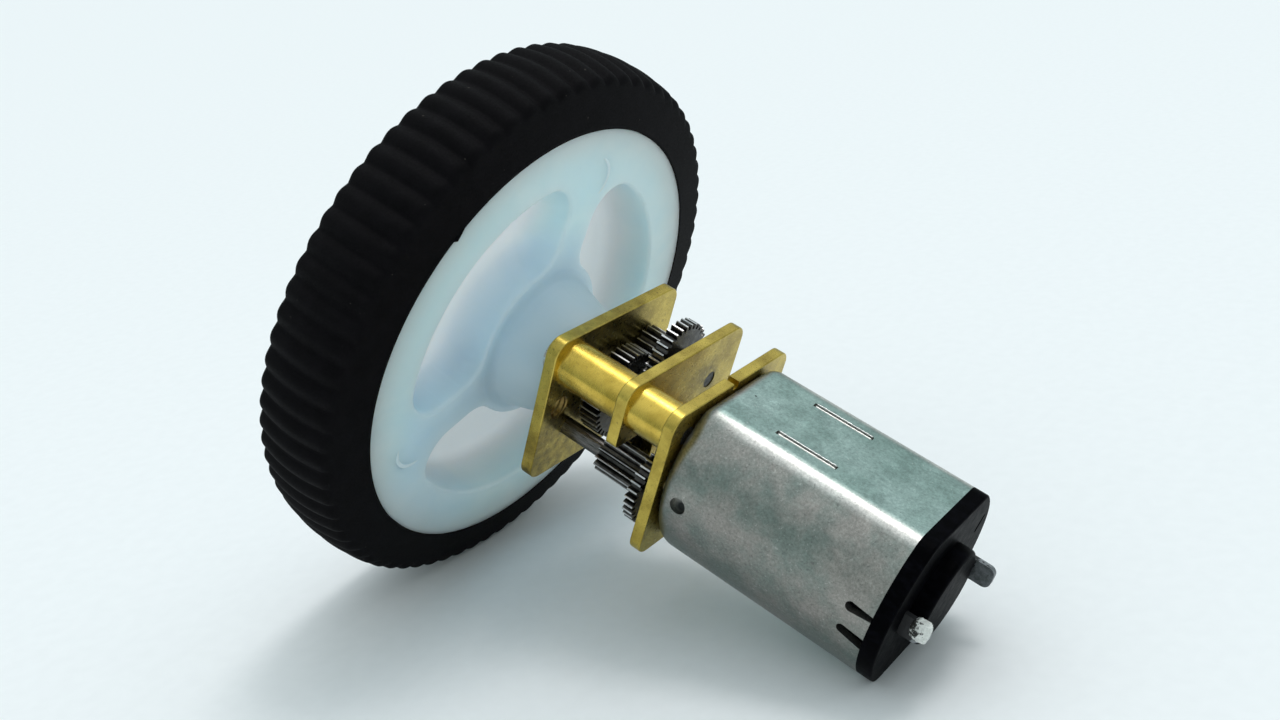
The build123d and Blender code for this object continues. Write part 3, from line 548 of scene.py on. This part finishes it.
def tyre_profile():
    """(level from the middle, radius) points across the tyre's outside, from one bead to the other."""
    arm = CROWN_RADIUS - SHOULDER_ROUND
    centre_x = arm * math.sin(SHOULDER_ANGLE)
    centre_y = TYRE_RADIUS - CROWN_RADIUS + arm * math.cos(SHOULDER_ANGLE)
    half = []
    for i in range(CROWN_STEPS + 1):
        angle = SHOULDER_ANGLE * i / CROWN_STEPS
        y = TYRE_RADIUS - CROWN_RADIUS + CROWN_RADIUS * math.cos(angle)
        half.append((CROWN_RADIUS * math.sin(angle), y))
    for i in range(1, SHOULDER_STEPS + 1):
        angle = SHOULDER_ANGLE + (SIDE_ANGLE - SHOULDER_ANGLE) * i / SHOULDER_STEPS
        y = centre_y + SHOULDER_ROUND * math.cos(angle)
        half.append((centre_x + SHOULDER_ROUND * math.sin(angle), y))
    top_x, top_y = half[-1]
    for i in range(1, SIDE_STEPS + 1):
        y = top_y + (BEAD_RADIUS - top_y) * i / SIDE_STEPS
        half.append((top_x + (top_y - y) / math.tan(SIDE_ANGLE), y))
    return [(-x, y) for x, y in reversed(half[1:])] + half


def build_tyre():
    """The tyre: ribs across the crown that fade out on the shoulders, smooth sides and the seat inside."""
    outside = tyre_profile()
    inside = [
        (SEAT_HALF, BEAD_RADIUS), (SEAT_HALF, SEAT_RADIUS),
        (-SEAT_HALF, SEAT_RADIUS), (-SEAT_HALF, BEAD_RADIUS),
    ]
    profile = outside + inside
    around = RIBS * RIB_STEPS
    rings = []
    for x, y in profile:
        depth = 0.0
        if (x, y) not in inside:
            depth = min(max((y - RIB_SIDE_END) / (RIB_SIDE_FULL - RIB_SIDE_END), 0), 1)
            depth = RIB_DEPTH * depth * depth * (3 - 2 * depth)
        ring = []
        for j in range(around):
            angle = 2 * math.pi * j / around
            valley = 1 - abs(math.sin(angle * RIBS / 2)) ** RIB_ROUNDNESS
            r = y - depth * valley
            ring.append((r * math.cos(angle), r * math.sin(angle), WHEEL_MIDDLE + x))
        rings.append(ring)
    return skin("ribbed_tyre", rings, True)


tyre = piece("ribbed_tyre", build_tyre(), "wheel", rubber)
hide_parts("tyre")

# ---- solder lump ----
LUMP_MIDDLE = (3.7, 0.2, -25.08)
LUMP_HALF = (0.47, 0.75, 0.62)
LUMP_RINGS = 40
LUMP_SQUARENESS = 0.62
LUMP_COARSE_GRAIN = 1.56
LUMP_FINE_GRAIN = 5.72
LUMP_COARSE_DENT = 0.21
LUMP_FINE_DENT = 0.15


def rounded_power(value, power):
    """A signed power, which squares up a sine."""
    return math.copysign(abs(value) ** power, value)


def solder_blob():
    """A squarish blob with dents, no larger than its half sizes, along the part's own axes."""
    middle = Vector(LUMP_MIDDLE)
    rings = []
    for i in range(1, LUMP_RINGS):
        polar = math.pi * i / LUMP_RINGS
        ring = []
        for j in range(2 * LUMP_RINGS):
            turn = math.pi * j / LUMP_RINGS
            across = rounded_power(math.sin(polar), LUMP_SQUARENESS)
            x = across * rounded_power(math.cos(turn), LUMP_SQUARENESS)
            y = across * rounded_power(math.sin(turn), LUMP_SQUARENESS)
            z = rounded_power(math.cos(polar), LUMP_SQUARENESS)
            outward = Vector((x, y, z))
            coarse = 0.5 + 0.5 * rough_noise(LUMP_COARSE_GRAIN * outward + middle)
            fine = abs(rough_noise(LUMP_FINE_GRAIN * outward - middle))
            size = 1 - LUMP_COARSE_DENT * coarse - LUMP_FINE_DENT * fine
            ring.append(tuple(m + h * size * c for m, h, c in zip(LUMP_MIDDLE, LUMP_HALF, outward)))
        rings.append(ring)
    return skin("solder_blob", rings, False)


solder = piece("solder_blob", solder_blob(), "frame", lump_paint)
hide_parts("solder_lump")

# ---- slots in the can's flats: a burr along one edge and the pressed tongue inside ----
SLOT_PLACES = (2.0, -2.2)
SLOT_FRONT = -13.3
SLOT_BACK = -17.06
SLOT_HALF = 0.175
FLAT_HEIGHT = 5.0
SLOT_STEPS = 48
RAGS_PER_MM = 5.0


def slot_strip(name, u, side, section, wobble):
    """A strip along a slot, from a section of (across, height above the flat) points, with a ragged edge."""
    rings = []
    for i in range(SLOT_STEPS + 1):
        w = SLOT_FRONT + (SLOT_BACK - SLOT_FRONT) * i / SLOT_STEPS
        rag = 1 + wobble * rough_noise(Vector((u, side, RAGS_PER_MM * w)))
        rings.append([(u + x, side * (FLAT_HEIGHT + rag * y), w) for x, y in section])
    return skin(name, rings, False)


BURR = [
    (-SLOT_HALF - 0.07, -0.05), (-SLOT_HALF - 0.05, 0.015), (-SLOT_HALF + 0.01, 0.05),
    (-SLOT_HALF + 0.05, 0.03), (-SLOT_HALF + 0.05, -0.05),
]
BURR_WOBBLE = 0.7
TONGUE = [
    (-SLOT_HALF, -0.10), (-SLOT_HALF + 0.06, -0.08), (0.03, -0.16), (0.05, -0.30), (-SLOT_HALF, -0.30),
]
TONGUE_WOBBLE = 0.15
burrs = [slot_strip("burr", u, side, BURR, BURR_WOBBLE) for u in SLOT_PLACES for side in (1, -1)]
tongues = [slot_strip("tongue", u, side, TONGUE, TONGUE_WOBBLE) for u in SLOT_PLACES for side in (1, -1)]
piece("slot_burrs", merged("slot_burrs", burrs), "frame", burr_metal)
piece("slot_tongues", merged("slot_tongues", tongues), "frame", plated_can)

# ---- threads in the front plate's two mounting holes ----
THREAD_PLACES = (4.5, -4.5)
THREAD_PITCH = 0.35
THREAD_OUTER = 0.81
THREAD_ROOT = 0.79
THREAD_CREST = 0.66
THREAD_STEPS = 40
THREAD_TURN_STEPS = 48
PLATE_FRONT = -0.02
PLATE_BACK = -0.78


def thread(u):
    """A threaded sleeve: a helical ridge inside, and a plain outside sunk in the plate."""
    rings = []
    for i in range(-1, THREAD_STEPS + 2):
        inner = 0 <= i <= THREAD_STEPS
        w = PLATE_FRONT + (PLATE_BACK - PLATE_FRONT) * min(max(i, 0), THREAD_STEPS) / THREAD_STEPS
        ring = []
        for j in range(THREAD_TURN_STEPS):
            turn = j / THREAD_TURN_STEPS
            ridge = 1 - abs(2 * ((w / THREAD_PITCH + turn) % 1) - 1)
            r = THREAD_ROOT + (THREAD_CREST - THREAD_ROOT) * ridge if inner else THREAD_OUTER
            ring.append((u + r * math.cos(2 * math.pi * turn), r * math.sin(2 * math.pi * turn), w))
        rings.append(ring)
    return skin("thread", rings, True)


threads = merged("face_threads", [thread(u) for u in THREAD_PLACES])
piece("face_threads", threads, "frame", thread_brass)

# ---- moulding marks on the hub ----
HUB_NEAR = 4.63
MARK_SPOKES = ((100.8, 175), (220.8, 60), (340.8, 310))
MARK_PLACE = 11.1
MARK_RADIUS = 1.35
MARK_SECTION = [(-0.30, 0.04), (-0.15, -0.01), (0.0, -0.035), (0.06, -0.02), (0.10, 0.04)]
MARK_SUNK = 0.04
MARK_FALL = 0.7
MARK_STEPS = 72


def pin_mark(spoke, high_side):
    """The low ring that an ejector pin leaves at a spoke's outer end, highest on one side."""
    turn = math.radians(spoke)
    middle = (MARK_PLACE * math.cos(turn), MARK_PLACE * math.sin(turn))
    rings = []
    for i in range(MARK_STEPS):
        angle = 2 * math.pi * i / MARK_STEPS
        rise = max(math.cos(angle - math.radians(high_side)), 0) ** MARK_FALL
        ring = []
        for x, y in MARK_SECTION:
            r = MARK_RADIUS + x
            level = HUB_NEAR + MARK_SUNK + (y - MARK_SUNK) * rise
            ring.append((middle[0] + r * math.cos(angle), middle[1] + r * math.sin(angle), level))
        rings.append(ring)
    return skin("pin_mark", rings, True)


marks = merged("ejector_marks", [pin_mark(spoke, high_side) for spoke, high_side in MARK_SPOKES])
piece("ejector_marks", marks, "wheel", mark_plastic())

FLASH_START = math.radians(45.5)
FLASH_SPAN = math.radians(4.5)
FLASH_STEPS = 30
FLASH_ROOT = 14.40
FLASH_REACH = 0.34
FLASH_DEPTH = 0.3
FLASH_EDGE = 0.04
FLASH_PROUD = 0.05
FLASH_RISE = 0.2
FLASH_FALL = 0.7
FLASH_LEAST = 0.02


def tyre_flash():
    """A scrap of rubber flash that laps over the rim's edge: it starts sharply and fades out."""
    rings = []
    for i in range(FLASH_STEPS + 1):
        along = i / FLASH_STEPS
        height = min(along / FLASH_RISE, 1) * (1 - along) ** FLASH_FALL + FLASH_LEAST
        angle = FLASH_START + FLASH_SPAN * along
        inner = FLASH_ROOT - FLASH_REACH * height
        top = HUB_NEAR - FLASH_PROUD * height
        section = [
            (FLASH_ROOT, top + FLASH_DEPTH), (FLASH_ROOT, top), (inner + FLASH_EDGE, top),
            (inner, top + FLASH_EDGE), (inner, top + FLASH_DEPTH),
        ]
        rings.append([(r * math.cos(angle), r * math.sin(angle), w) for r, w in section])
    return skin("tyre_flash", rings, False)


piece("tyre_flash", tyre_flash(), "wheel", rubber)

# ---- camera, floor and light ----
CAMERA_PLACE = Vector((59.42, 46.73, 42.68)) * MM
CAMERA_AIM = Vector((-1.85, -1.71, 14.59)) * MM
CAMERA_ROLL = math.radians(-6.09)
CAMERA_LENS = 37.85
SENSOR_WIDTH = 36
FLOOR_HALF = 60.0
WORLD_STRENGTH = 1.0

camera_data = bpy.data.cameras.new("camera")
camera_data.sensor_width = SENSOR_WIDTH
camera_data.lens = CAMERA_LENS
camera_data.clip_start = 0.001
camera_data.clip_end = 200
camera = bpy.data.objects.new("camera", camera_data)
bpy.context.scene.collection.objects.link(camera)
camera.location = CAMERA_PLACE
camera.rotation_mode = "QUATERNION"
look = (CAMERA_AIM - CAMERA_PLACE).to_track_quat("-Z", "Y")
camera.rotation_quaternion = look @ Matrix.Rotation(CAMERA_ROLL, 3, "Z").to_quaternion()
bpy.context.scene.camera = camera


def build_floor():
    """A plain pale floor, far wider than the view."""
    mesh = bpy.data.meshes.new("floor")
    corners = [(FLOOR_HALF * x, FLOOR_HALF * y, 0) for x, y in ((-1, -1), (1, -1), (1, 1), (-1, 1))]
    mesh.from_pydata(corners, [], [(0, 1, 2, 3)])
    material = bpy.data.materials.new("floor_paper")
    material.use_nodes = True
    tree = material.node_tree
    shader = tree.nodes["Principled BSDF"]
    coords = tree.nodes.new("ShaderNodeTexCoord")
    fine = noise(tree, coords.outputs["Object"], 900.0, 3, 0.5)
    colour = ramp(tree, fine, (0.3, (0.86, 0.88, 0.885)), (0.7, (0.88, 0.90, 0.905)))
    tree.links.new(colour, shader.inputs["Base Color"])
    shader.inputs["Roughness"].default_value = 0.75
    mesh.materials.append(material)
    floor = bpy.data.objects.new("floor", mesh)
    bpy.context.scene.collection.objects.link(floor)


build_floor()


def far_light(name, direction, power, spread, colour):
    """A distant soft light, shining along a direction, with its spread in degrees."""
    data = bpy.data.lights.new(name, "SUN")
    data.energy = power
    data.angle = math.radians(spread)
    data.color = colour
    light = bpy.data.objects.new(name, data)
    light.rotation_mode = "QUATERNION"
    light.rotation_quaternion = Vector(direction).to_track_quat("-Z", "Y")
    bpy.context.scene.collection.objects.link(light)


far_light("key", (0.20, 0.02, -0.62), power=0.34, spread=40, colour=(1.0, 0.98, 0.99))
far_light("top", (0.27, -0.10, -0.96), power=0.52, spread=16, colour=(1.0, 0.97, 0.97))


def build_world():
    """Studio surroundings: bright overhead, dimmer towards the horizon."""
    world = bpy.data.worlds.new("studio")
    bpy.context.scene.world = world
    world.use_nodes = True
    tree = world.node_tree
    background = tree.nodes["Background"]
    coords = tree.nodes.new("ShaderNodeTexCoord")
    height = separate(tree, coords.outputs["Generated"])[2]
    horizon, middle, overhead = (0.31, 0.40, 0.39), (0.51, 0.59, 0.60), (0.86, 0.945, 0.975)
    sky = ramp(tree, height, (0.0, horizon), (0.35, middle), (0.85, overhead))
    tree.links.new(sky, background.inputs["Color"])
    background.inputs["Strength"].default_value = WORLD_STRENGTH


build_world()
bpy.context.scene.view_settings.view_transform = "Standard"
bpy.context.scene.view_settings.look = "None"
